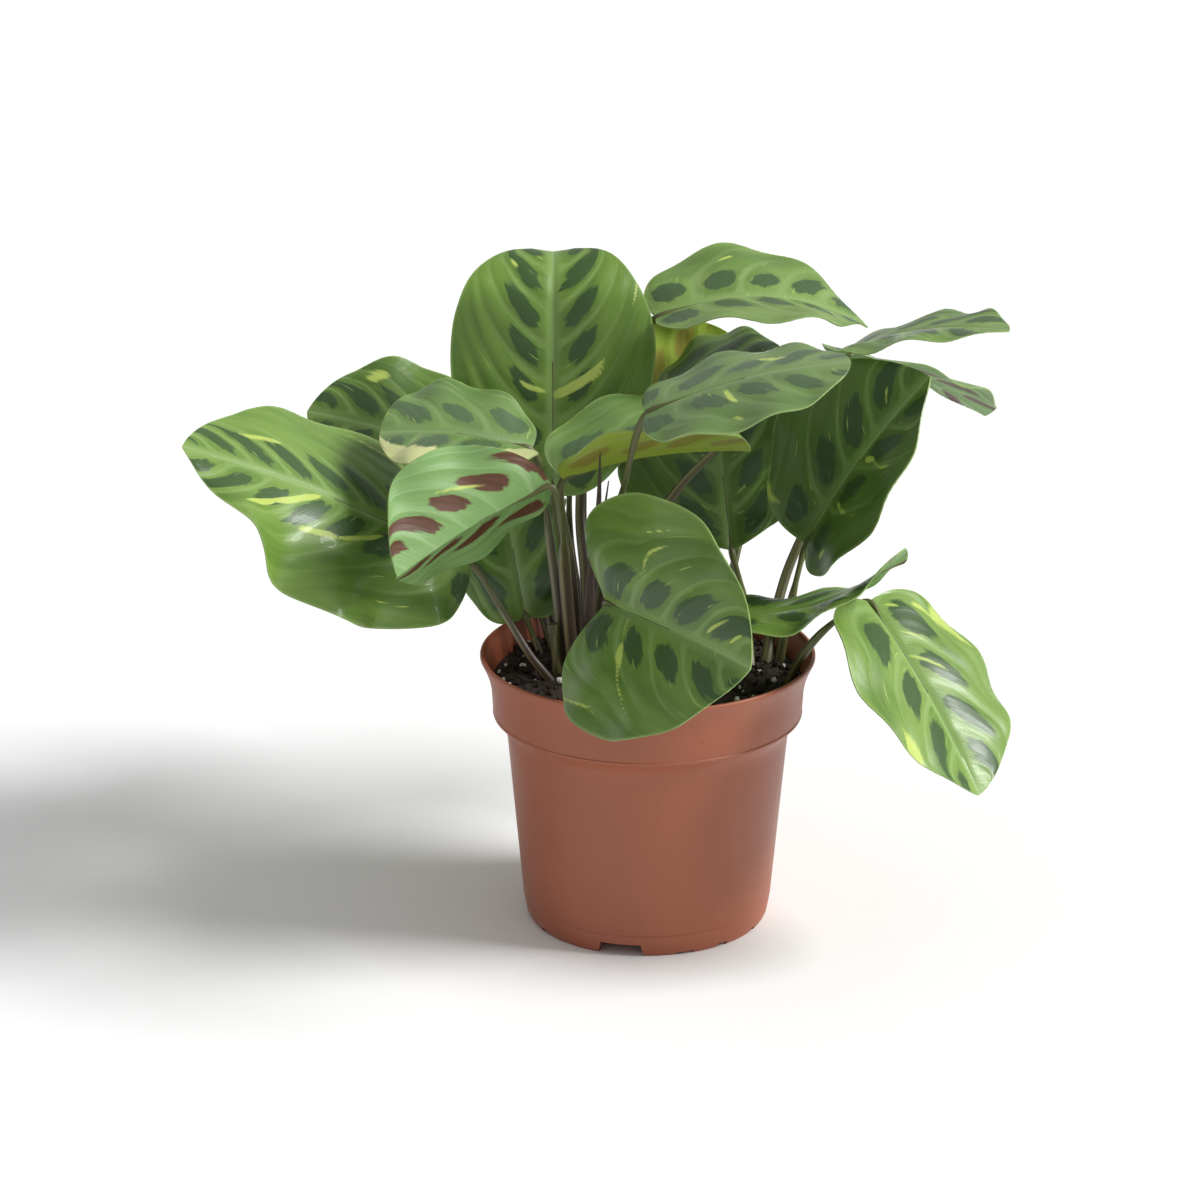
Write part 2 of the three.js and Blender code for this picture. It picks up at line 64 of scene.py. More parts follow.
# ---- the leaves ---------------------------------------------------------------------------
# The shapes are those of the solids: the two ends of the blade's chord, where its upper side looks,
# and how its halves are folded and curled.
LEAVES = {
    "crown": dict(
        base=(-34, 36, 147), tip=(-34, 50, 244), face=(0, -1, 0.1), width=74,
        widest=0.55, point=0.5, roll=100,
        root=(-26.5, 9.5), via=[(-29, 20, 118)], sheath=2.2),
    "turned": dict(
        base=(-34, -40, 175), tip=(-86, -66, 151), face=(-0.1, 1, 0.3), width=60,
        fold=(45, 25, 30, 50), widest=0.6,
        root=(-26.5, -3), via=[(-29.5, -13, 134), (-30.5, -42, 163)], sheath=2.6),
    "inner_left": dict(
        base=(-41, -8, 178), tip=(-94, -8, 184), face=(0.1, -0.4, 1), width=60,
        fold=(35, 10, 5, 5), widest=0.55, point=0.5,
        root=(-29.5, 3), via=[(-34, 2, 134)], sheath=2.2),
    "outer_left": dict(
        base=(-63, -4, 135), tip=(-160, -43, 190), face=(0.2, -0.5, 1), width=90,
        fold=(-15, 15, 5, -5), curl=(-40, -15), wave=(8, 1.5), phase=-1,
        root=(-33, -11), via=[(-42, -10, 102), (-52, -6, 118)], sheath=1.7),
    "rear_left": dict(
        base=(-64, 58, 152), tip=(-124, 60, 171), face=(0, -0.6, 1), width=70,
        root=(-34, 27), via=[(-45, 42, 118)], sheath=1.8),
    "low_left": dict(
        base=(-44, 31, 102), tip=(-52, 49, 148), face=(-0.2, -1, 0.3), width=44, lobe=15,
        root=(-38, 17), via=[], sheath=1.5),
    "folded": dict(
        base=(-30, -14, 169), tip=(36, 0, 175), face=(0, 0.3, 1), width=70,
        fold=(45, 45, 30, 20), root=(-24, 3.2), via=[(-28, -4, 140)], sheath=2.1),
    "front_right": dict(
        base=(-1, -42, 202), tip=(68, -46, 221), face=(0, -0.1, 1), width=62,
        fold=(5, -5, -5, -5), curl=(-10, -10), point=0.5,
        root=(-19, 3.2), via=[(-16, 1, 130), (-13, -12, 150), (-9, -33, 172)], sheath=2.1),
    "top_right": dict(
        base=(3, 45, 211), tip=(80, 60, 203), face=(0.1, 0, 1), width=70, arch=10,
        fold=(20, 15, 5, 5), curl=(-5, -5), point=1,
        root=(-21, 9.8), via=[(-22, 26, 118), (-24, 44, 138), (-21, 54, 170), (-10, 56, 192)],
        sheath=2.5),
    "mid_rear": dict(
        base=(3, 66, 176), tip=(51, 66, 191), face=(0, -0.1, 1), width=60,
        lobe=10, widest=0.55, blunt=0.8,
        root=(16, 44), via=[(12, 62, 138)], sheath=1.7),
    "rear_turned": dict(
        base=(5, 86, 159), tip=(30, 100, 190), face=(0.1, 1, 0.3), width=60,
        root=(8, 48), via=[(6, 66, 120), (9.5, 78, 150)], sheath=1.7),
    "tall_right": dict(
        base=(57, 19, 134), tip=(99, 4, 201), face=(-0.7, -0.6, 0.5), width=76,
        fold=(20, 20, 25, 25), curl=(-10, -10),
        root=(47, 11), via=[(53, 14, 120)], sheath=2.1),
    "wide_rear": dict(
        base=(31, 44, 123), tip=(24, 50, 180), face=(0, -1, 0.2), width=76,
        lobe=10, widest=0.6, blunt=0.7,
        root=(37, 4), via=[(35, 26, 111)], sheath=2),
    "far_upper": dict(
        base=(70, 52, 195), tip=(127, 13, 215), face=(0, 0, 1), width=60, arch=5,
        fold=(10, 5, 10, 5), lobe=10, widest=0.4,
        root=(-2, 11), via=[(4, 15, 145), (29, 25, 172), (50, 38, 187)], sheath=1.8),
    "far_lower": dict(
        base=(74, 82, 186), tip=(128, 111, 154), face=(0.1, 0.2, 1), width=66,
        root=(42, 7), via=[(50, 28, 118), (65, 45, 150)], sheath=2),
    "low_right": dict(
        base=(28, -18, 121), tip=(88, -45, 154), face=(-0.2, 0, 1), width=50, arch=-8,
        fold=(8, -15, 8, 8),
        root=(22, -8), via=[], sheath=1.6),
    "draped": dict(
        base=(-15, -36, 131), tip=(33, -108, 133), face=(-0.6, -0.5, 0.7), width=88,
        fold=(55, 30, 0, 0), lobe=25, widest=0.42, point=0.6,
        root=(-7, -1), via=[], sheath=1.8),
    "hanging": dict(
        base=(78, -12, 123), tip=(115, -56, 67), face=(0.4, -0.7, 0.6), width=72,
        fold=(5, 5, 25, 30), curl=(-45, -10),
        root=(49.5, -8), via=[(56.5, -14, 106), (65, -13, 115)], sheath=1.8),
    "back_high": dict(
        base=(-28, 68, 152), tip=(-36, 140, 166), face=(0.1, -0.2, 1), width=72, arch=8,
        phase=1, root=(-22, 33), via=[(-28, 44, 128)], sheath=1.8),
    "back_right": dict(
        base=(48, 68, 134), tip=(86, 128, 138), face=(-0.1, 0.1, 1), width=70, arch=9,
        phase=2.4, root=(28, 36), via=[(32, 48, 116), (38, 60, 129)], sheath=1.8),
    "back_left": dict(
        base=(-48, 60, 126), tip=(-84, 122, 112), face=(-0.1, 0.3, 1), width=68, arch=9,
        phase=1.7, root=(-32, 35), via=[(-40, 47, 110)], sheath=1.7),
}
LEAF_DEFAULTS = dict(fold=(8, 8, 8, 8), curl=(-15, -15), arch=4, sway=0, lobe=20, widest=0.5,
                     blunt=0.5, point=0.75, wave=(1.5, 1.5), waves=3, phase=0, roll=0, roll_from=0.72)

# How each blade is marked. veins: how far apart its side veins are and where the first one starts,
# on the left half and on the right. slant: how steeply they leave the midrib. patch: where the dark
# patches beside the midrib begin and end. pale: how much of its ground is pale. Then the painted light:
# how much painted grey sheen its top has, as if it reflected the pale room; how much painted shade
# darkens it to a deeper green; and how much painted light from behind shows through its underside.
# cream: where the left half's cream margin begins. streaks: yellow streaks, each with its half, its two
# ends and its half-width; an end is a vein number and a distance from the midrib.
LOOKS = {
    "crown": dict(veins=((13.5, 0), (13.5, 0)), pale=0.3, patch_depth_and_painted_shade=0.1, streaks=[
        ("right", 2.75, 0, 2.5, 18, 2), ("right", 2.4, 14, 2.3, 18, 1), ("left", 2.75, 2, 2.5, 12, 1),
        ("right", 2.4, 29, 2, 33, 1), ("left", 5.4, 13, 5.3, 15, 1)]),
    "turned": dict(veins=((13, 0.5), (13, 0)), pale=0.6, streaks=[("left", 1.6, 10, 2.2, 16, 1)]),
    "inner_left": dict(veins=((15, 0.5), (15, 0)), slant=0.6, pale=0.3, painted_sheen=0.9, cream=0.5),
    "outer_left": dict(veins=((15, 0.4), (15, 0)), patch=(4, 19), pale=0.55, painted_sheen=0.3, streaks=[
        ("left", 4.7, 2, 5.4, 13, 2), ("left", 5.4, 13, 5.4, 20, 2), ("left", 2.7, 8, 3.3, 18, 1.5),
        ("left", 3.3, 18, 4.2, 18, 1.5), ("right", 5.3, 17, 4.1, 19, 1), ("right", -1, 41, -0.5, 35, 1),
        ("right", -0.8, 36, 0.7, 22, 1), ("left", 0.5, 31, 0.5, 28, 1)]),
    "rear_left": dict(pale=0.15, patch_depth_and_painted_shade=0.5, streaks=[("right", 1.7, 19, 0.7, 25, 1)]),
    "low_left": dict(pale=0.1, patch_depth_and_painted_shade=0.5),
    "folded": dict(slant=0.8, painted_sheen=0.7, painted_backlight=1),
    "front_right": dict(veins=((15.5, 0.5), (15.5, 0.3)), slant=0.75, pale=0.45, painted_sheen=0.85, streaks=[
        ("right", 2, 6, 1.8, 15, 1.2), ("left", 2.5, 15, 3.3, 11, 1.2), ("right", 1, 26, 1.2, 23, 0.7)]),
    "top_right": dict(slant=0.5, pale=0.85, painted_sheen=0.4, streaks=[("left", 1.1, 23, 1.3, 25, 1.2)]),
    "mid_rear": dict(pale=0.1, patch_depth_and_painted_shade=0.7),
    "rear_turned": dict(painted_backlight=1),
    "tall_right": dict(veins=((17, 0), (19, 0)), slant=0.75, pale=0.1, patch_depth_and_painted_shade=0.7, streaks=[
        ("right", 2.2, 5, 2.2, 10, 1.8), ("right", 2.2, 10, 1.8, 24, 0.7), ("right", 1.2, 6, 0.9, 18, 0.6),
        ("right", 0.9, 18, 0.7, 26, 0.5), ("left", -0.4, 30, 0.2, 17, 0.7), ("right", 0.3, 17, 0.3, 19, 1.4),
        ("left", 3.6, 9, 3.5, 5, 0.5), ("left", 2.4, 15, 2.3, 10, 0.5)]),
    "wide_rear": dict(pale=0.05, patch_depth_and_painted_shade=0.8, streaks=[("right", 1.3, 3, 1.3, 8, 0.6)]),
    "far_upper": dict(slant=0.8, pale=0.6, painted_sheen=0.5),
    "far_lower": dict(slant=0.8, pale=0.7, painted_sheen=0.4),
    "low_right": dict(slant=0.8, pale=0.4, painted_sheen=0.3),
    "draped": dict(veins=((19, 0), (19, 0.2)), pale=0.35, painted_sheen=0.25, patch_depth_and_painted_shade=0.2, streaks=[
        ("right", 1.2, 2, 1.2, 11, 0.7), ("right", 1.2, 11, 0.9, 20, 1.2), ("right", 0.9, 20, 0.4, 33, 0.8),
        ("left", -0.3, 31, -0.2, 34, 1.2), ("left", 0.5, 24, 0.4, 29, 1.2), ("left", 0.5, 24, 0.8, 18, 0.6),
        ("right", -0.8, 34, -1, 37, 0.7), ("left", 3.2, 5, 3.3, 12, 1), ("left", 3.8, 5, 3.8, 9, 0.8)]),
    "hanging": dict(veins=((17.5, 0), (19, -0.2)), pale=0.85, painted_sheen=0.2, streaks=[
        ("left", 0.2, 4, 0.3, 9, 0.6), ("left", 0.2, 15, 0, 22, 0.7), ("left", 0, 22, -1, 32, 1.2),
        ("left", 1.4, 1, 1.5, 12, 0.9), ("left", 0.8, 2, 1, 17, 0.5), ("right", 0.6, 29, 1.7, 23, 1.2)]),
}
LOOK_DEFAULTS = dict(veins=((15, 0), (15, 0)), slant=1, patch=(4, 17), pale=0.4, painted_sheen=0.2, patch_depth_and_painted_shade=0,
                     painted_backlight=0, cream=2, streaks=[])

SPIKES = {
    "spike_tall": dict(root=(-21, -3.5), path=[(-20.5, -5, 130), (-17.8, -13, 155), (-17, -24, 182)],
                       radius=2.3, end=0.2),
    "spike_short": dict(root=(-17, 9), path=[(-18.6, 8, 125), (-14, 6, 162)], radius=1.3, end=0.2),
    "cut_stub": dict(root=(-32, -4), path=[(-33.5, -2, 111)], radius=2.2, end=2.1),
}

# ---- the picture --------------------------------------------------------------------------


def place_camera():
    data = bpy.data.cameras.new("camera")
    data.lens, data.sensor_width = CAMERA["lens"], CAMERA["sensor"]
    data.sensor_fit = "HORIZONTAL"
    data.clip_start, data.clip_end = 0.05, 60
    camera = bpy.data.objects.new("camera", data)
    bpy.context.scene.collection.objects.link(camera)
    down = math.radians(CAMERA["down"])
    ahead = Vector((0, math.cos(down), -math.sin(down)))
    upward = Vector((0, math.sin(down), math.cos(down)))
    # How many millimetres one pixel of the photograph covers at the pot's top.
    pixel = CAMERA["distance"] * CAMERA["sensor"] / (CAMERA["lens"] * CAMERA["picture"])
    right_of_middle, below_middle = CAMERA["pot_top"]
    place = Vector((0, 0, POT["height"])) - ahead * CAMERA["distance"]
    place += upward * below_middle * pixel - Vector((1, 0, 0)) * right_of_middle * pixel
    camera.location = place * MM
    camera.rotation_euler = (math.radians(90) - down, 0, 0)
    bpy.context.scene.camera = camera


def set_light():
    scene = bpy.context.scene
    scene.view_settings.view_transform = "Standard"
    world = bpy.data.worlds.new("studio")
    scene.world = world
    world.use_nodes = True
    world.node_tree.nodes["Background"].inputs["Color"].default_value = (*WHITE, 1)
    world.node_tree.nodes["Background"].inputs["Strength"].default_value = LIGHT["room"]
    sun = bpy.data.lights.new("window", "SUN")
    sun.energy, sun.angle = LIGHT["window"], math.radians(LIGHT["spread"])
    lamp = bpy.data.objects.new("window", sun)
    scene.collection.objects.link(lamp)
    lamp.rotation_euler = Vector(LIGHT["towards"]).to_track_quat("Z", "Y").to_euler()


# ---- making meshes ------------------------------------------------------------------------


def fresh():
    """Nothing is selected, so an operator acts on the new piece alone."""
    if bpy.context.object and bpy.context.object.mode != "OBJECT":
        bpy.ops.object.mode_set(mode="OBJECT")
    bpy.ops.object.select_all(action="DESELECT")


def only(piece):
    fresh()
    piece.select_set(True)
    bpy.context.view_layer.objects.active = piece


def corners(piece):
    points = np.zeros(len(piece.data.vertices) * 3)
    piece.data.vertices.foreach_get("co", points)
    return points.reshape(-1, 3)


def reshape(piece, points):
    """Moves a piece's corners to these points, given in millimetres."""
    piece.data.vertices.foreach_set("co", (np.asarray(points) * MM).astype(np.float32).ravel())
    piece.data.update()


def store(piece, name, values):
    """Keeps a number for each corner, for the finish to read."""
    attribute = piece.data.attributes.new(name, "FLOAT", "POINT")
    attribute.data.foreach_set("value", np.broadcast_to(values, len(piece.data.vertices)).astype(np.float32))


def store_map(piece, name, across, along):
    """A UV map from two numbers for each face corner, or for each corner of the mesh."""
    layer = piece.data.uv_layers.get(name) or piece.data.uv_layers.new(name=name)
    index = face_corners(piece)
    pair = [values if len(values) == len(index) else values[index] for values in (across, along)]
    layer.data.foreach_set("uv", np.stack(pair, axis=1).astype(np.float32).ravel())


def face_corners(piece):
    """For each face corner, which corner of the mesh it is."""
    index = np.zeros(len(piece.data.loops), np.int32)
    piece.data.loops.foreach_get("vertex_index", index)
    return index


def modify(piece, kind, **settings):
    only(piece)
    modifier = piece.modifiers.new(kind.lower(), kind)
    for name, value in settings.items():
        setattr(modifier, name, value)
    bpy.ops.object.modifier_apply(modifier=modifier.name)


def shade(piece, sharpest):
    """Faces that meet at less than this angle, in degrees, are shaded as one smooth surface."""
    only(piece)
    bpy.ops.object.shade_smooth_by_angle(angle=math.radians(sharpest))


def settle(piece, name, finishes, nodes=()):
    """Names a piece, gives it its finishes, and puts it on the body."""
    piece.name = name
    piece.data.name = name
    for finish in finishes:
        piece.data.materials.append(finish)
    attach(piece, "root")
    if nodes:
        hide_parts(*nodes)
    return piece


# ---- finishes -----------------------------------------------------------------------------


class Wire:
    """An output of a shader node. Sums on it add Math nodes."""

    def __init__(self, finish, socket):
        self.finish, self.socket = finish, socket

    def sum(self, operation, *values):
        return self.finish.add("ShaderNodeMath", dict(operation=operation), dict(enumerate(values)))

    def __add__(self, other):
        return self.sum("ADD", self, other)

    def __radd__(self, other):
        return self.sum("ADD", other, self)

    def __sub__(self, other):
        return self.sum("SUBTRACT", self, other)

    def __rsub__(self, other):
        return self.sum("SUBTRACT", other, self)

    def __mul__(self, other):
        return self.sum("MULTIPLY", self, other)

    def __rmul__(self, other):
        return self.sum("MULTIPLY", other, self)

    def __truediv__(self, other):
        return self.sum("DIVIDE", self, other)

    def __pow__(self, other):
        return self.sum("POWER", self, other)

    def __abs__(self):
        return self.sum("ABSOLUTE", self)

    def floor(self):
        return self.sum("FLOOR", self)


class Finish:
    """A material made of nodes."""

    def __init__(self, name):
        self.material = bpy.data.materials.new(name)
        self.material.use_nodes = True
        self.tree = self.material.node_tree
        self.shader = self.tree.nodes["Principled BSDF"]

    def add(self, kind, settings, sockets, output=0):
        node = self.tree.nodes.new(kind)
        for name, value in settings.items():
            setattr(node, name, value)
        for key, value in sockets.items():
            self.put(node.inputs[key], value)
        return Wire(self, node.outputs[output])

    def put(self, socket, value):
        if isinstance(value, Wire):
            self.tree.links.new(value.socket, socket)
        elif isinstance(value, tuple) and len(value) == 3 and socket.type == "RGBA":
            socket.default_value = (*value, 1)
        else:
            socket.default_value = value

    def read(self, name):
        return self.add("ShaderNodeAttribute", dict(attribute_name=name), {}, "Fac")

    def map(self, name):
        return self.add("ShaderNodeUVMap", dict(uv_map=name), {})

    def split(self, vector):
        """The first two numbers of a vector."""
        return [self.add("ShaderNodeSeparateXYZ", {}, {0: vector}, k) for k in (0, 1)]

    def lot(self, value):
        """A random number for each whole number."""
        return self.add("ShaderNodeTexWhiteNoise", dict(noise_dimensions="1D"), {"W": value})

    def place(self):
        return self.add("ShaderNodeTexCoord", {}, {}, "Object")

    def stretch(self, vector, scale, shift=(0, 0, 0)):
        return self.add("ShaderNodeMapping", {}, {"Vector": vector, "Scale": scale, "Location": shift})

    def grain(self, vector, scale, detail=2, roughness=0.5):
        sockets = {"Vector": vector, "Scale": scale, "Detail": detail, "Roughness": roughness}
        return self.add("ShaderNodeTexNoise", {}, sockets)

    def step(self, value, low, high, start=0.0, end=1.0):
        sockets = {0: value, 1: low, 2: high, 3: start, 4: end}
        return self.add("ShaderNodeMapRange", dict(interpolation_type="SMOOTHSTEP"), sockets)

    def blend(self, share, first, second):
        return self.add("ShaderNodeMix", dict(data_type="RGBA"), {0: share, 6: first, 7: second}, 2)

    def bump(self, height, strength, distance):
        sockets = {"Height": height, "Strength": strength, "Distance": distance}
        return self.add("ShaderNodeBump", {}, sockets)

    def surface(self, **sockets):
        for name, value in sockets.items():
            self.put(self.shader.inputs[name.replace("_", " ")], value)
        return self.material


def blade_pattern(f):
    """Where a point of a blade is among its veins: the grains that run along the side veins, how far
    the nearest side vein and the midrib are, and how deep in a dark patch the point is."""
    veins = f.map("veins")
    number, reach = f.split(veins)
    cell = number.floor()
    across = number - cell - 0.5
    off = (0.5 - abs(across)) * f.read("gap")
    feather = f.grain(f.stretch(veins, (6, 0.16, 1)), 1, 2)
    fine = f.grain(f.stretch(veins, (24, 0.10, 1)), 1, 2)
    length = f.read("patch_half") * (0.8 + 0.45 * f.lot(cell))
    along = (reach - f.read("patch_middle")) / length
    wide = across / 0.36
    patch_depth_and_painted_shade = 1.0 - (along * along + wide * wide) ** 0.5 + (feather - 0.5) * 0.9
    return dict(veins=veins, reach=reach, off=off, feather=feather, fine=fine, patch=f.step(patch_depth_and_painted_shade, 0, 0.22))


def yellow_marks(f, green, pattern, share):
    """Flecks and streaks along the side veins, and a cream margin."""
    flecks = f.grain(f.stretch(pattern["veins"], (11, 0.11, 1), (3.3, 1.7, 0)), 1, 1)
    green = f.blend(f.step(flecks, 0.70, 0.76) * share, green, (0.42, 0.55, 0.14))
    streak = f.step(f.read("streak") + (pattern["feather"] - 0.5) * 1.6, -0.25, 0.55)
    green = f.blend(streak * 0.85, green, (0.50, 0.60, 0.13))
    cream = f.step(f.read("cream") + (pattern["feather"] - 0.5) * 0.25, -0.03, 0.05)
    return f.blend(cream * 0.9, green, (0.62, 0.64, 0.30))


def leaf_top():
    f = Finish("leaf_upper_side")
    p = blade_pattern(f)
    cloud = f.grain(f.stretch(p["veins"], (0.7, 0.06, 1)), 1, 2)
    mid = f.blend(f.step(cloud, 0.3, 0.7), (0.075, 0.17, 0.007), (0.145, 0.27, 0.014))
    # Painted shade: the ground is darkened to a deeper green on leaves that turn away from the window.
    mid = f.blend(f.read("patch_depth_and_painted_shade"), mid, (0.05, 0.115, 0.003))
    pale_share = f.step(cloud + (p["fine"] - 0.5) * 0.5, 0.35, 0.65, 0.25, 1.0) * f.read("pale")
    green = f.blend(pale_share, mid, (0.20, 0.32, 0.06))
    side_vein = f.step(p["off"] + (p["feather"] - 0.5) * 2.2, 0.3, 2.0, 1.0, 0.0)
    side_vein = side_vein * f.step(p["reach"], 12, 34, 1.0, 0.25)
    middle = f.step(p["reach"] - 2.6 * f.step(p["off"], 0, 3, 1.0, 0.0), 1.0, 4.2, 1.0, 0.0)
    band = side_vein + middle - side_vein * middle
    green = f.blend(band * (0.45 + 0.45 * f.read("pale")), green, (0.24, 0.37, 0.095))
    green = f.blend(p["patch"] * 0.92, green, (0.015, 0.058, 0.003))
    rib = f.step(p["reach"], 0.35, 0.9, 1.0, 0.0)
    green = f.blend(rib * 0.5, green, (0.30, 0.44, 0.17))
    # Painted sheen: the top is greyed as if it reflected the pale room.
    green = f.blend(f.read("painted_sheen") * 0.45, green, (0.14, 0.22, 0.12))
    green = yellow_marks(f, green, p, 0.6)
    margin = f.step(f.read("margin"), 0.965, 0.995)
    green = f.blend(margin * 0.5, green, (0.30, 0.42, 0.14))
    rough = f.step(p["fine"], 0.2, 0.8, 0.34, 0.48)
    # The clear coat is real gloss, strongest on the leaves with the most painted sheen.
    return f.surface(Base_Color=green, Roughness=rough, Normal=f.bump(p["fine"], 0.25, 0.0004),
                     Coat_Weight=f.read("painted_sheen") * 0.35, **LEAF_GLOW)


def leaf_under():
    f = Finish("leaf_underside")
    p = blade_pattern(f)
    green = f.blend(p["fine"], (0.15, 0.29, 0.08), (0.22, 0.38, 0.13))
    side_vein = f.step(p["off"], 0.2, 1.2, 1.0, 0.0)
    green = f.blend(side_vein * 0.45, green, (0.30, 0.44, 0.20))
    # Painted backlight: the underside turns yellow-green, and its dark patches redder and fainter, as if the
    # window shone through the leaf.
    painted_backlight = f.read("painted_backlight")
    green = f.blend(painted_backlight * 0.9, green, (0.34, 0.43, 0.04))
    red = f.blend(p["feather"], (0.05, 0.013, 0.006), (0.14, 0.03, 0.014))
    red = f.blend(painted_backlight * 0.7, red, (0.30, 0.13, 0.03))
    green = f.blend(p["patch"] * (0.95 - 0.45 * painted_backlight), green, red)
    green = yellow_marks(f, green, p, 0.3)
    return f.surface(Base_Color=green, Roughness=0.5, Normal=f.bump(p["fine"], 0.25, 0.0004),
                     **LEAF_GLOW)


def stem_skin():
    f = Finish("stem_skin")
    run = f.map("run")
    streak = f.grain(f.stretch(run, (3, 0.03, 1)), 1, 3)
    dark = f.blend(streak, (0.022, 0.011, 0.012), (0.07, 0.04, 0.038))
    olive = f.blend(streak, (0.06, 0.07, 0.015), (0.14, 0.15, 0.045))
    skin = f.blend(f.read("green"), dark, olive)
    skin = f.blend(f.read("edge"), skin, (0.30, 0.28, 0.14))
    return f.surface(Base_Color=skin, Roughness=0.42, Normal=f.bump(streak, 0.3, 0.0004))


def pot_plastic():
    f = Finish("moulded_pot_plastic")
    place = f.place()
    cloud = f.grain(place, 30, 3)
    specks = f.step(f.grain(place, 900, 1), 0.72, 0.78)
    plastic = f.blend(cloud, (0.29, 0.078, 0.036), (0.36, 0.105, 0.052))
    plastic = f.blend(specks * 0.5, plastic, (0.10, 0.03, 0.02))
    fine = f.grain(place, 1500, 2)
    return f.surface(Base_Color=plastic, Roughness=f.step(cloud, 0.3, 0.7, 0.38, 0.5),
                     Normal=f.bump(fine, 0.15, 0.0002))


def peat():
    f = Finish("peat")
    place = f.place()
    crumb = f.grain(place, 420, 4, 0.7)
    dark = f.blend(crumb, (0.006, 0.004, 0.003), (0.045, 0.028, 0.018))
    return f.surface(Base_Color=dark, Roughness=0.95, Normal=f.bump(crumb, 0.8, 0.001))


def perlite():
    f = Finish("perlite")
    grain = f.grain(f.place(), 900, 3)
    white = f.blend(grain, (0.5, 0.46, 0.4), (0.85, 0.83, 0.78))
    return f.surface(Base_Color=white, Roughness=0.9, Normal=f.bump(grain, 0.5, 0.0004))


def paper_floor():
    f = Finish("pale_floor")
    paper = f.blend(f.grain(f.place(), 40, 3), (0.89, 0.89, 0.89), (0.91, 0.91, 0.91))
    return f.surface(Base_Color=paper, Roughness=0.9)


# ---- blades -------------------------------------------------------------------------------


def unit(vectors):
    return vectors / np.linalg.norm(vectors, axis=-1, keepdims=True)


def dot(a, b):
    return np.sum(a * b, axis=-1, keepdims=True)


def mix(a, b, share):
    return a + (b - a) * share


def smooth(low, high, value):
    share = np.clip((value - low) / (high - low), 0, 1)
    return share * share * (3 - 2 * share)


def chord_of(leaf):
    base, tip = np.array(leaf["base"], float), np.array(leaf["tip"], float)
    length = np.linalg.norm(tip - base)
    chord = (tip - base) / length
    face = np.array(leaf["face"], float)
    up = unit(face - face @ chord * chord)
    return base, chord, up, np.cross(chord, up), length


def midrib(leaf, t):
    """Points along the midrib at these shares of the blade's length."""
    base, chord, up, side, length = chord_of(leaf)
    bend = math.radians(leaf["roll"]) + 1e-6
    run = (1 - leaf["roll_from"]) * length
    rolled = np.maximum(0, (t - leaf["roll_from"]) / (1 - leaf["roll_from"])) * bend
    along = np.minimum(t, leaf["roll_from"]) * length + np.sin(rolled) / bend * run
    bow = 4 * t * (1 - t)
    lift = bow * leaf["arch"] - (1 - np.cos(rolled)) / bend * run
    return base + along[:, None] * chord + lift[:, None] * up + (bow * leaf["sway"])[:, None] * side


def half_width(leaf, t):
    skew = math.log(0.5) / math.log(leaf["widest"])
    oval = np.abs(np.sin(np.pi * t**skew)) ** mix(leaf["blunt"], leaf["point"], t)
    return np.maximum(leaf["width"] / 2 * oval, 0.3)


def blade_frame(leaf, t):
    along = unit(midrib(leaf, t + 1e-3) - midrib(leaf, t - 1e-3))
    side = np.broadcast_to(chord_of(leaf)[3], along.shape)
    across = unit(side - dot(side, along) * along)
    return along, across, np.cross(across, along)


def blade_points(leaf, t, s):
    """The blade's middle surface: t along the midrib, s from -1 at the left margin to 1."""
    along, across, up = blade_frame(leaf, t)
    right = s >= 0
    full = leaf["width"] / 2
    reach = np.abs(s) * half_width(leaf, t)
    fold = np.radians(np.where(right, mix(leaf["fold"][2], leaf["fold"][3], t),
                               mix(leaf["fold"][0], leaf["fold"][1], t)))
    bend = np.radians(np.where(right, leaf["curl"][1], leaf["curl"][0])) / full + 1e-9
    angle = fold + bend * reach
    out = (np.sin(angle) - np.sin(fold)) / bend
    lift = (np.cos(fold) - np.cos(angle)) / bend
    fade = np.clip(6 * t, 0, 1) * np.clip(5 * (1 - t), 0, 1)
    ripple = np.where(right, leaf["wave"][1], leaf["wave"][0]) * s * s * fade * np.sin(
        2 * np.pi * leaf["waves"] * t + leaf["phase"] + np.where(right, 2.2, 0))
    back = leaf["lobe"] * (reach / full) ** 1.3 * (1 - t) ** 3
    outward = np.where(right, 1, -1) * (out - ripple * np.sin(angle))
    upward = lift + ripple * np.cos(angle)
    return (midrib(leaf, t) + outward[:, None] * across + upward[:, None] * up
            - back[:, None] * along)


def vein_number(leaf, look, side, t, s):
    """Which side vein of one half a point lies on, counted from the base, and its distance from the
    midrib: the veins leave the midrib at a slant and turn towards the tip near the margin."""
    length = chord_of(leaf)[4]
    gap, start = look["veins"][side]
    reach = np.abs(s) * half_width(leaf, t)
    lean = 0.2 + 0.8 * np.clip(t / 0.35, 0, 1)
    rise = (0.55 * reach + 0.017 * reach**2 + 0.5 * reach * np.abs(s) ** 3) * lean * look["slant"]
    return (t * length - rise) / gap + start, reach


def streak_depth(look, gap, on_right, number, reach):
    """How far inside the nearest yellow streak each point is, in millimetres, or less than 0."""
    depth = np.full(len(number), -9.0)
    place = np.stack([number * gap, reach], axis=1)
    for half_name, *ends, half_width_of_streak in look["streaks"]:
        same_half = on_right == (half_name == "right")
        scale = look["veins"][half_name == "right"][0]
        start, end = np.array(ends[:2]) * (scale, 1), np.array(ends[2:]) * (scale, 1)
        run = end - start
        share = np.clip((place - start) @ run / (run @ run), 0, 1)
        distance = np.linalg.norm(place - start - share[:, None] * run, axis=1)
        taper = 1 - 0.5 * (2 * share - 1) ** 4
        inside = half_width_of_streak * taper - distance
        depth = np.where(same_half, np.maximum(depth, inside), depth)
    return depth


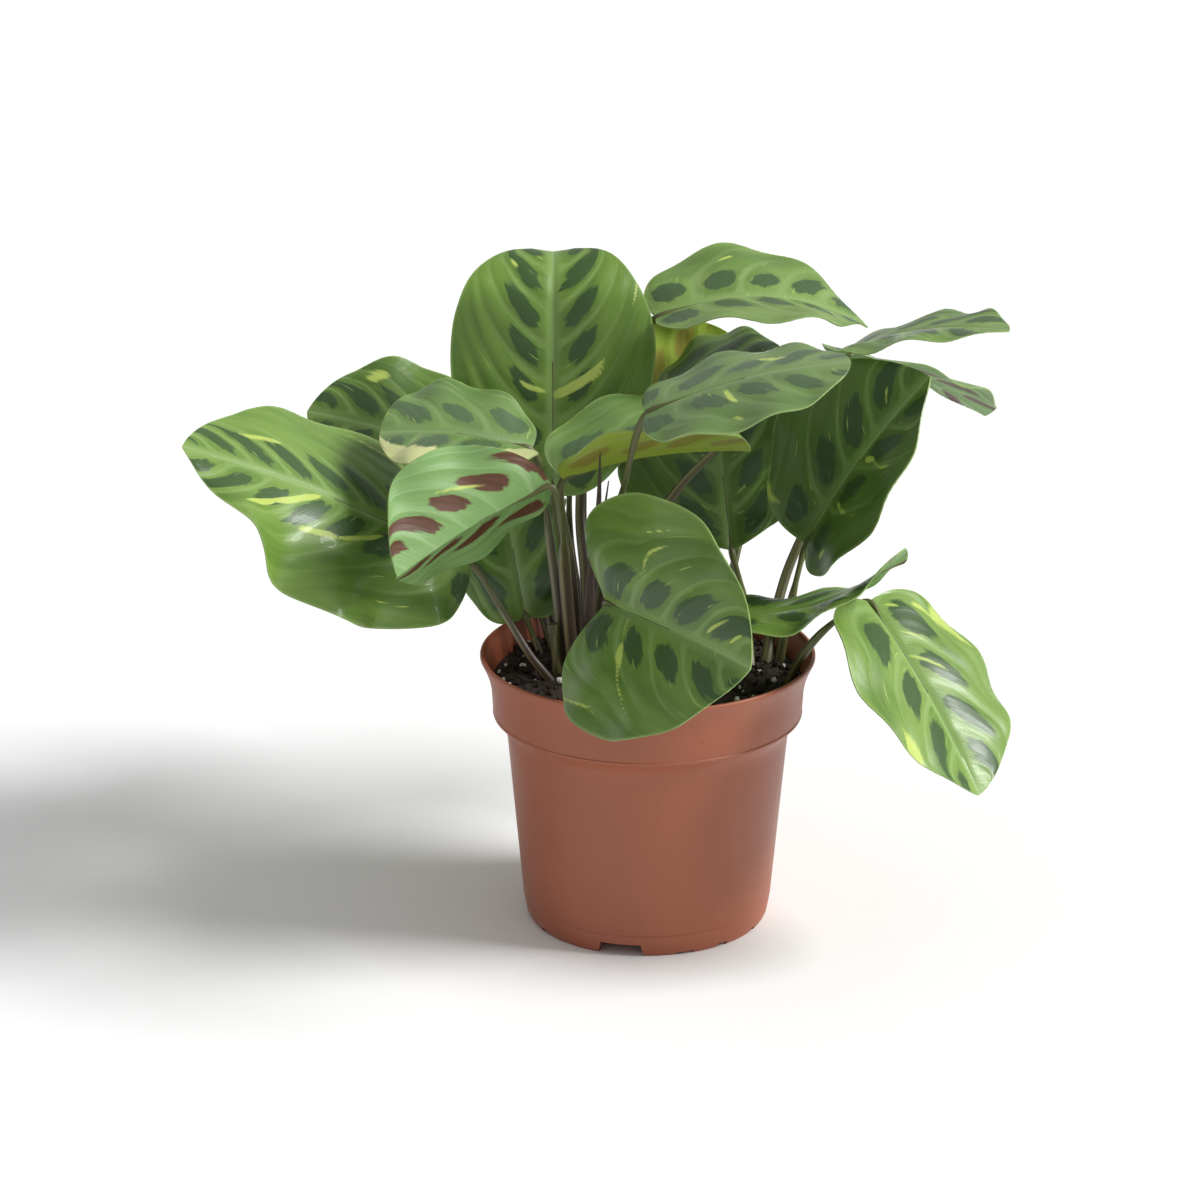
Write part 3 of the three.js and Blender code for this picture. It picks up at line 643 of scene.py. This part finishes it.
def blade_normals(leaf, t, s):
    step = 2e-3
    ahead = blade_points(leaf, t + step, s) - blade_points(leaf, t - step, s)
    further, nearer = np.minimum(s + step, 1), np.maximum(s - step, -1)
    beside = blade_points(leaf, t, further) - blade_points(leaf, t, nearer)
    return unit(np.cross(beside, ahead))


def blade_relief(number, reach, t, s):
    """How high the quilted blade stands, in millimetres: it rises between the side veins, and dips
    along them and the midrib."""
    pillow = np.sin(np.pi * (number - np.floor(number))) ** 0.7 - 0.6
    cushion = smooth(1.5, 7, reach) * (1 - smooth(0.8, 1, np.abs(s)))
    small = np.sin(2 * np.pi * number * 4) * smooth(3, 10, reach)
    groove = np.exp(-((reach / 1.2) ** 2))
    taper = np.clip((1 - t) * 4, 0, 1)
    return 0.55 * pillow * cushion + 0.06 * small - 0.55 * groove * taper


def blade(name, leaf, look, seed, finishes):
    fresh()
    bpy.ops.mesh.primitive_grid_add(x_subdivisions=BLADE_ROWS, y_subdivisions=BLADE_COLUMNS, size=2)
    piece = bpy.context.object
    for finish in finishes:
        piece.data.materials.append(finish)
    flat = corners(piece)
    u, s = (flat[:, 0] + 1) / 2, -flat[:, 1]
    t = mix(u, (1 - np.cos(np.pi * u)) / 2, 0.7)
    on_right = s >= 0
    both = [vein_number(leaf, look, side, t, s) for side in (0, 1)]
    number, reach = np.where(on_right, both[1][0], both[0][0]), both[0][1]
    gap = np.where(on_right, look["veins"][1][0], look["veins"][0][0])
    middle = blade_points(leaf, t, s)
    raised = blade_normals(leaf, t, s) * blade_relief(number, reach, t, s)[:, None]
    reshape(piece, middle + raised)
    # Each face takes its veins from the half that it lies in, so they meet cleanly at the midrib.
    index = face_corners(piece)
    face_right = np.repeat(s[index].reshape(-1, 4).mean(axis=1) > 0, 4)
    shift = 31 * seed + 7 * face_right
    store_map(piece, "veins", np.where(face_right, both[1][0][index], both[0][0][index]) + shift, reach)
    patch_start, patch_end = look["patch"]
    # The sheen, the deeper green and the light from behind kept here are painted light and shade for the
    # finishes; the rest are the blade's own marks.
    values = dict(margin=np.abs(s), gap=gap, patch_middle=(patch_start + patch_end) / 2,
                  patch_half=(patch_end - patch_start) / 2, pale=look["pale"], painted_sheen=look["painted_sheen"],
                  patch_depth_and_painted_shade=look["patch_depth_and_painted_shade"], painted_backlight=look["painted_backlight"],
                  streak=streak_depth(look, gap, on_right, number, reach),
                  cream=np.where(on_right, -1, np.abs(s) - look["cream"]))
    for value_name, value in values.items():
        store(piece, value_name, value)
    modify(piece, "SOLIDIFY", thickness=BLADE_THICKNESS * MM, offset=0, use_rim=True,
           use_quality_normals=True, material_offset=1)
    shade(piece, 50)
    return settle(piece, "leaf_" + name, [], ["blade_" + name])


# ---- stems --------------------------------------------------------------------------------


def soil_height(x, y):
    return SOIL_LEVEL + SOIL_MOUND * (1 - (math.hypot(x, y) / POT["body_top"]) ** 2)


def smooth_path(points, count):
    """A smooth curve through the points, evenly spaced along its length."""
    points = np.array(points, float)
    if len(points) == 2:
        return mix(points[0], points[1], np.linspace(0, 1, count)[:, None])
    padded = np.vstack([2 * points[0] - points[1], points, 2 * points[-1] - points[-2]])
    fine = []
    for p0, p1, p2, p3 in zip(padded, padded[1:], padded[2:], padded[3:]):
        d0, d1, d2 = (np.linalg.norm(b - a) ** 0.5 for a, b in ((p0, p1), (p1, p2), (p2, p3)))
        m1 = ((p1 - p0) / d0 - (p2 - p0) / (d0 + d1) + (p2 - p1) / d1) * d1
        m2 = ((p2 - p1) / d1 - (p3 - p1) / (d1 + d2) + (p3 - p2) / d2) * d1
        x = np.linspace(0, 1, 40, endpoint=False)[:, None]
        fine.append((2 * x**3 - 3 * x**2 + 1) * p1 + (x**3 - 2 * x**2 + x) * m1
                    + (-2 * x**3 + 3 * x**2) * p2 + (x**3 - x**2) * m2)
    fine = np.vstack(fine + [points[-1:]])
    run = np.concatenate([[0], np.cumsum(np.linalg.norm(np.diff(fine, axis=0), axis=1))])
    places = np.linspace(0, run[-1], count)
    return np.stack([np.interp(places, run, fine[:, k]) for k in range(3)], axis=1)


def ring_frames(path):
    """At each point of a path, two directions square to it that turn as little as they can."""
    ahead = unit(np.gradient(path, axis=0))
    first = np.cross(ahead[0], (0.0, 1.0, 0.0))
    sides = [unit(first if np.linalg.norm(first) > 0.1 else np.cross(ahead[0], (1.0, 0.0, 0.0)))]
    for direction in ahead[1:]:
        sides.append(unit(sides[-1] - sides[-1] @ direction * direction))
    sides = np.array(sides)
    return sides, np.cross(ahead, sides)


def rod(path, radius_at, rings, sides):
    """A closed rod along a path, from a cylinder cut into rings. radius_at takes the share of
    the length and the angle round it."""
    fresh()
    bpy.ops.mesh.primitive_cylinder_add(vertices=sides, radius=1, depth=2, end_fill_type="NGON")
    piece = bpy.context.object
    bpy.ops.object.mode_set(mode="EDIT")
    bpy.ops.mesh.select_all(action="DESELECT")
    bpy.ops.object.mode_set(mode="OBJECT")
    for edge in piece.data.edges:
        a, b = (piece.data.vertices[k].co.z for k in edge.vertices)
        edge.select = abs(a - b) > 1
    bpy.ops.object.mode_set(mode="EDIT")
    bpy.ops.mesh.select_mode(type="EDGE")
    bpy.ops.mesh.subdivide(number_cuts=rings - 1)
    bpy.ops.object.mode_set(mode="OBJECT")
    flat = corners(piece)
    share = (flat[:, 2] + 1) / 2
    angle = np.arctan2(flat[:, 1], flat[:, 0])
    ring = np.clip(np.round(share * rings).astype(int), 0, rings)
    centres = smooth_path(path, rings + 1)
    first, second = ring_frames(centres)
    radius = radius_at(share, angle)
    points = centres[ring] + radius[:, None] * (
        np.cos(angle)[:, None] * first[ring] + np.sin(angle)[:, None] * second[ring])
    reshape(piece, points)
    run = np.concatenate([[0], np.cumsum(np.linalg.norm(np.diff(centres, axis=0), axis=1))])
    store_map(piece, "run", angle, run[ring])
    bpy.ops.object.mode_set(mode="EDIT")
    bpy.ops.mesh.select_all(action="SELECT")
    bpy.ops.mesh.normals_make_consistent(inside=False)
    bpy.ops.object.mode_set(mode="OBJECT")
    return piece, share, angle


def petiole(name, leaf, skin):
    x, y = leaf["root"]
    level = soil_height(x, y)
    points = [(x, y, level - ROOT_DEPTH), (x, y, level - ROOT_DEPTH / 3), *leaf["via"]]
    # It runs into the blade's base, and on below the midrib, thinner and thinner.
    stations = np.array([0.0, 0.12, 0.3, 0.5])
    _, _, up = blade_frame(leaf, stations)
    under = midrib(leaf, stations) - up * np.array([0.2, 0.5, 0.45, 0.3])[:, None]
    path = points + [tuple(p) for p in under]
    whole = np.linalg.norm(np.diff(np.array(path), axis=0), axis=1)
    stem_share = whole[:len(points)].sum() / whole.sum()

    def radius_at(share, angle):
        u = share / stem_share
        sheath = mix(leaf["sheath"], 0.72 * leaf["sheath"], np.clip(u / 0.62, 0, 1))
        slim = np.clip((u - 0.62) / 0.12, 0, 1)
        joint = smooth(0.86, 0.92, u)
        round_part = mix(mix(sheath, 1.05, slim), 1.3, joint)
        tail = 1 - 0.78 * smooth(0.97, 1.15, u)
        keel = 1 + 0.10 * np.cos(angle * 2 + 1) * (1 - slim)
        return round_part * tail * keel

    piece, share, angle = rod(path, radius_at, 72, 16)
    u = share / stem_share
    green = 0.15 + 0.75 * smooth(0.35, 0.8, u) if x < 20 else 0.55 + 0.4 * smooth(0.2, 0.7, u)
    store(piece, "green", green)
    lip = np.exp(-((angle - 0.9) / 0.28) ** 2) * (1 - smooth(0.62, 0.7, u))
    store(piece, "edge", lip)
    shade(piece, 50)
    return settle(piece, "stem_" + name, [skin], ["petiole_" + name])


def spike(name, shape, skin):
    x, y = shape["root"]
    level = soil_height(x, y)
    path = [(x, y, level - ROOT_DEPTH), (x, y, level - ROOT_DEPTH / 3), *shape["path"]]

    def radius_at(share, angle):
        taper = mix(shape["radius"], shape["end"], np.clip((share - 0.35) / 0.65, 0, 1))
        return taper * (1 + 0.12 * np.cos(angle * 2 + 6 * share))

    piece, share, angle = rod(path, radius_at, 48, 16)
    was_cut = name == "cut_stub"
    store(piece, "green", 0.7 if was_cut else 0.1)
    store(piece, "edge", np.exp(-((angle - 2 * share) / 0.25) ** 2) * (0.8 if was_cut else 0.25))
    shade(piece, 50)
    return settle(piece, name + "_stem", [skin], [name])


# ---- pot and soil -------------------------------------------------------------------------


def turned_shape(profile, segments):
    """A shape of revolution: a loop of corners is set to the profile, and spun round the pot."""
    fresh()
    bpy.ops.mesh.primitive_circle_add(vertices=len(profile), radius=1)
    piece = bpy.context.object
    reshape(piece, [(r, 0, z) for r, z in profile])
    bpy.ops.object.mode_set(mode="EDIT")
    bpy.ops.mesh.select_all(action="SELECT")
    bpy.ops.mesh.spin(steps=segments, angle=2 * math.pi, center=(0, 0, 0), axis=(0, 0, 1))
    bpy.ops.mesh.select_all(action="SELECT")
    bpy.ops.mesh.remove_doubles(threshold=0.02 * MM)
    bpy.ops.mesh.dissolve_degenerate(threshold=0.01 * MM)
    bpy.ops.mesh.select_all(action="SELECT")
    bpy.ops.mesh.normals_make_consistent(inside=False)
    bpy.ops.object.mode_set(mode="OBJECT")
    return piece


def cut(piece, tool):
    modify(piece, "BOOLEAN", operation="DIFFERENCE", object=tool, solver="EXACT")
    bpy.data.objects.remove(tool)


def arc(centre, radius, start, end, count):
    angles = [math.radians(start + (end - start) * k / (count - 1)) for k in range(count)]
    return [(centre[0] + radius * math.cos(a), centre[1] + radius * math.sin(a)) for a in angles]


def flare(thickness):
    """The collar's curve from the rim down, this far inside its outer face."""
    places = [(POT["rim"] - inset - thickness, 0, POT["height"] - drop) for drop, inset in FLARE]
    return [(r, z) for r, _, z in smooth_path(places, 12)]


def pot_profile():
    p = POT
    collar_foot = p["height"] - p["collar_height"]
    seat = p["foot_height"]
    inner = p["foot"] - p["foot_width"]
    inside = [(0, seat + p["floor"]), (p["body_foot"] - p["wall"] - 1.5, seat + p["floor"]),
              (p["body_foot"] - p["wall"] - 0.4, seat + p["floor"] + 0.4),
              (p["body_foot"] - p["wall"], seat + p["floor"] + 1.5),
              (p["body_top"] - p["wall"], collar_foot - 6),
              (p["collar"] - p["wall"] - 0.6, collar_foot + 1.2),
              (p["collar"] - p["wall"], collar_foot + 2.5), *reversed(flare(p["wall"]))]
    rim = arc((p["rim"] - 0.9, p["height"] - 0.4), 0.4, 180, 90, 4)
    rim += arc((p["rim"] - 0.6, p["height"] - 0.6), 0.6, 90, 0, 4)
    outside = [*flare(0), (p["collar"], collar_foot + 2.2),
               (p["collar"] - 0.15, collar_foot + 1.6), (p["collar"] + 0.1, collar_foot + 1.2),
               (p["collar"] - 0.15, collar_foot + 0.4), (p["collar"] - 0.8, collar_foot - 0.1),
               (p["body_top"] + 1.2, collar_foot - 3.4), (p["body_top"], collar_foot - 5.4),
               (p["body_top"] - 0.5, collar_foot - 9), (p["body_foot"] + 0.1, seat + 3.4),
               (p["body_foot"] - 0.3, seat + 3), (p["body_foot"] - 0.1, seat + 2.2),
               (p["foot"] + 1.2, 2.2), (p["foot"] + 0.6, 0.9), (p["foot"], 0), (inner, 0),
               (inner, seat), (0, seat)]
    return inside + rim + outside


def build_pot(plastic):
    pot = turned_shape(pot_profile(), 144)
    pad = turned_shape([(0, 0), (POT["pad"], 0), (POT["pad"] - 0.8, 5.5), (0, 5.5)], 48)
    modify(pot, "BOOLEAN", operation="UNION", object=pad, solver="EXACT")
    bpy.data.objects.remove(pad)
    for turn in range(3):
        for angle, width, height, slope in NOTCHES:
            fresh()
            bpy.ops.mesh.primitive_cube_add(size=1)
            tool = bpy.context.object
            box = corners(tool)
            high = box[:, 2] > 0
            half = np.where(high, width / 2, width / 2 + slope)
            flat = np.stack([np.sign(box[:, 0]) * half, np.where(box[:, 1] > 0, -37.4, -47),
                             np.where(high, height, -1)], axis=1)
            spin = math.radians(120 * turn + angle)
            c, s = math.cos(spin), math.sin(spin)
            reshape(tool, flat @ np.array([[c, s, 0], [-s, c, 0], [0, 0, 1]]))
            cut(pot, tool)
    for k in range(6):
        angle = math.pi / 3 * (k + 0.5)
        fresh()
        place = Vector((25 * math.cos(angle), 25 * math.sin(angle), 5)) * MM
        bpy.ops.mesh.primitive_cylinder_add(vertices=32, radius=4 * MM, depth=8 * MM, location=place)
        cut(pot, bpy.context.object)
    shade(pot, 32)
    return settle(pot, "nursery_pot", [plastic], ["pot"])


def build_soil(finish):
    collar_foot = POT["height"] - POT["collar_height"]
    low = POT["foot_height"] + POT["floor"] + 0.2
    edge = SOIL_LEVEL - SOIL_DROP
    drops, insets = zip(*FLARE)
    edge_radius = POT["rim"] - np.interp(POT["height"] - edge, drops, insets) - POT["wall"] - 0.2
    fresh()
    bpy.ops.mesh.primitive_grid_add(x_subdivisions=150, y_subdivisions=150, size=2)
    piece = bpy.context.object
    flat = corners(piece)
    x = flat[:, 0] * np.sqrt(1 - flat[:, 1] ** 2 / 2) * edge_radius
    y = flat[:, 1] * np.sqrt(1 - flat[:, 0] ** 2 / 2) * edge_radius
    away = np.hypot(x, y) / edge_radius
    z = []
    for px, py, share in zip(x, y, away):
        height = soil_height(px, py) - (SOIL_DROP - 0.8) * share**8
        rough = noise.fractal(Vector((px / 5, py / 5, 3.1)), 0.9, 2.1, 5)
        lump = noise.cell(Vector((px / 1.7, py / 1.7, 0.5))) - 0.5
        z.append(height + (1.1 * rough + 0.5 * lump) * (1 - share**12))
    reshape(piece, np.stack([x, y, z], axis=1))
    bpy.ops.object.mode_set(mode="EDIT")
    bpy.ops.mesh.select_mode(type="EDGE")
    bpy.ops.mesh.select_all(action="DESELECT")
    bpy.ops.mesh.select_non_manifold()
    walls = [(POT["rim"] - insets[-1] - POT["wall"] - 0.3, POT["height"] - drops[-1]),
             (POT["collar"] - POT["wall"] - 0.8, collar_foot + 2),
             (POT["body_top"] - POT["wall"] - 0.2, collar_foot - 6),
             (POT["body_foot"] - POT["wall"] - 0.3, low + 1.8), (POT["body_foot"] - POT["wall"] - 1.8, low)]
    radius, level = edge_radius, edge
    for wall_radius, wall_level in walls:
        down = (0, 0, (wall_level - level) * MM)
        bpy.ops.mesh.extrude_region_move(TRANSFORM_OT_translate=dict(value=down))
        ratio = wall_radius / radius
        bpy.ops.transform.resize(value=(ratio, ratio, 1), center_override=(0, 0, 0))
        radius, level = wall_radius, wall_level
    bpy.ops.mesh.edge_face_add()
    bpy.ops.mesh.select_all(action="SELECT")
    bpy.ops.mesh.normals_make_consistent(inside=False)
    bpy.ops.object.mode_set(mode="OBJECT")
    shade(piece, 60)
    return settle(piece, "peat_soil", [finish], ["soil"])


def scatter(name, finish, count, sizes, seed, fixed=()):
    """Small lumps strewn over the soil, joined as one piece."""
    draw = random.Random(seed)
    fresh()
    bpy.ops.mesh.primitive_ico_sphere_add(subdivisions=1, radius=1)
    pattern = bpy.context.object
    places = list(fixed)
    while len(places) < count:
        x, y = draw.uniform(-54, 54), draw.uniform(-54, 54)
        if math.hypot(x, y) < 53.5:
            places.append((x, y))
    lumps = []
    for x, y in places:
        lump = pattern.copy()
        lump.data = pattern.data.copy()
        bpy.context.scene.collection.objects.link(lump)
        size = draw.uniform(*sizes)
        turn = Matrix.Rotation(draw.uniform(0, 6.28), 3, Vector([draw.gauss(0, 1) for _ in range(3)]))
        squeeze = np.array([draw.uniform(0.6, 1.3) for _ in range(3)]) * size
        shape = corners(lump) * squeeze
        shape += np.array([[draw.gauss(0, 0.12) * size for _ in range(3)] for _ in shape])
        shape = shape @ np.array(turn)
        reshape(lump, shape + (x, y, soil_height(x, y) + 0.25 * size))
        lumps.append(lump)
    bpy.data.objects.remove(pattern)
    fresh()
    for lump in lumps:
        lump.select_set(True)
    bpy.context.view_layer.objects.active = lumps[0]
    bpy.ops.object.join()
    return settle(bpy.context.object, name, [finish])


def build_floor():
    fresh()
    bpy.ops.mesh.primitive_plane_add(size=40)
    floor = bpy.context.object
    floor.name = "floor"
    floor.data.materials.append(paper_floor())


# ---- the whole plant ----------------------------------------------------------------------

place_camera()
set_light()
build_floor()
build_pot(pot_plastic())
build_soil(peat())
scatter("peat_crumbs", bpy.data.materials["peat"], 700, (0.5, 1.6), 4)
# The grains of perlite that show, and then more of them anywhere.
scatter("perlite_grains", perlite(), 60, (0.5, 1.3), 9,
        fixed=[(-51, 7), (-40, -10), (33, 46), (31, 24), (49, 14), (49, 6), (34, -23), (31, -30),
               (40, -2), (45, -10)])
blade_finishes, skin = [leaf_top(), leaf_under()], stem_skin()
for order, (name, shape) in enumerate(LEAVES.items()):
    leaf = {**LEAF_DEFAULTS, **shape}
    blade(name, leaf, {**LOOK_DEFAULTS, **LOOKS.get(name, {})}, order + 1, blade_finishes)
    petiole(name, leaf, skin)
for name, shape in SPIKES.items():
    spike(name, shape, skin)
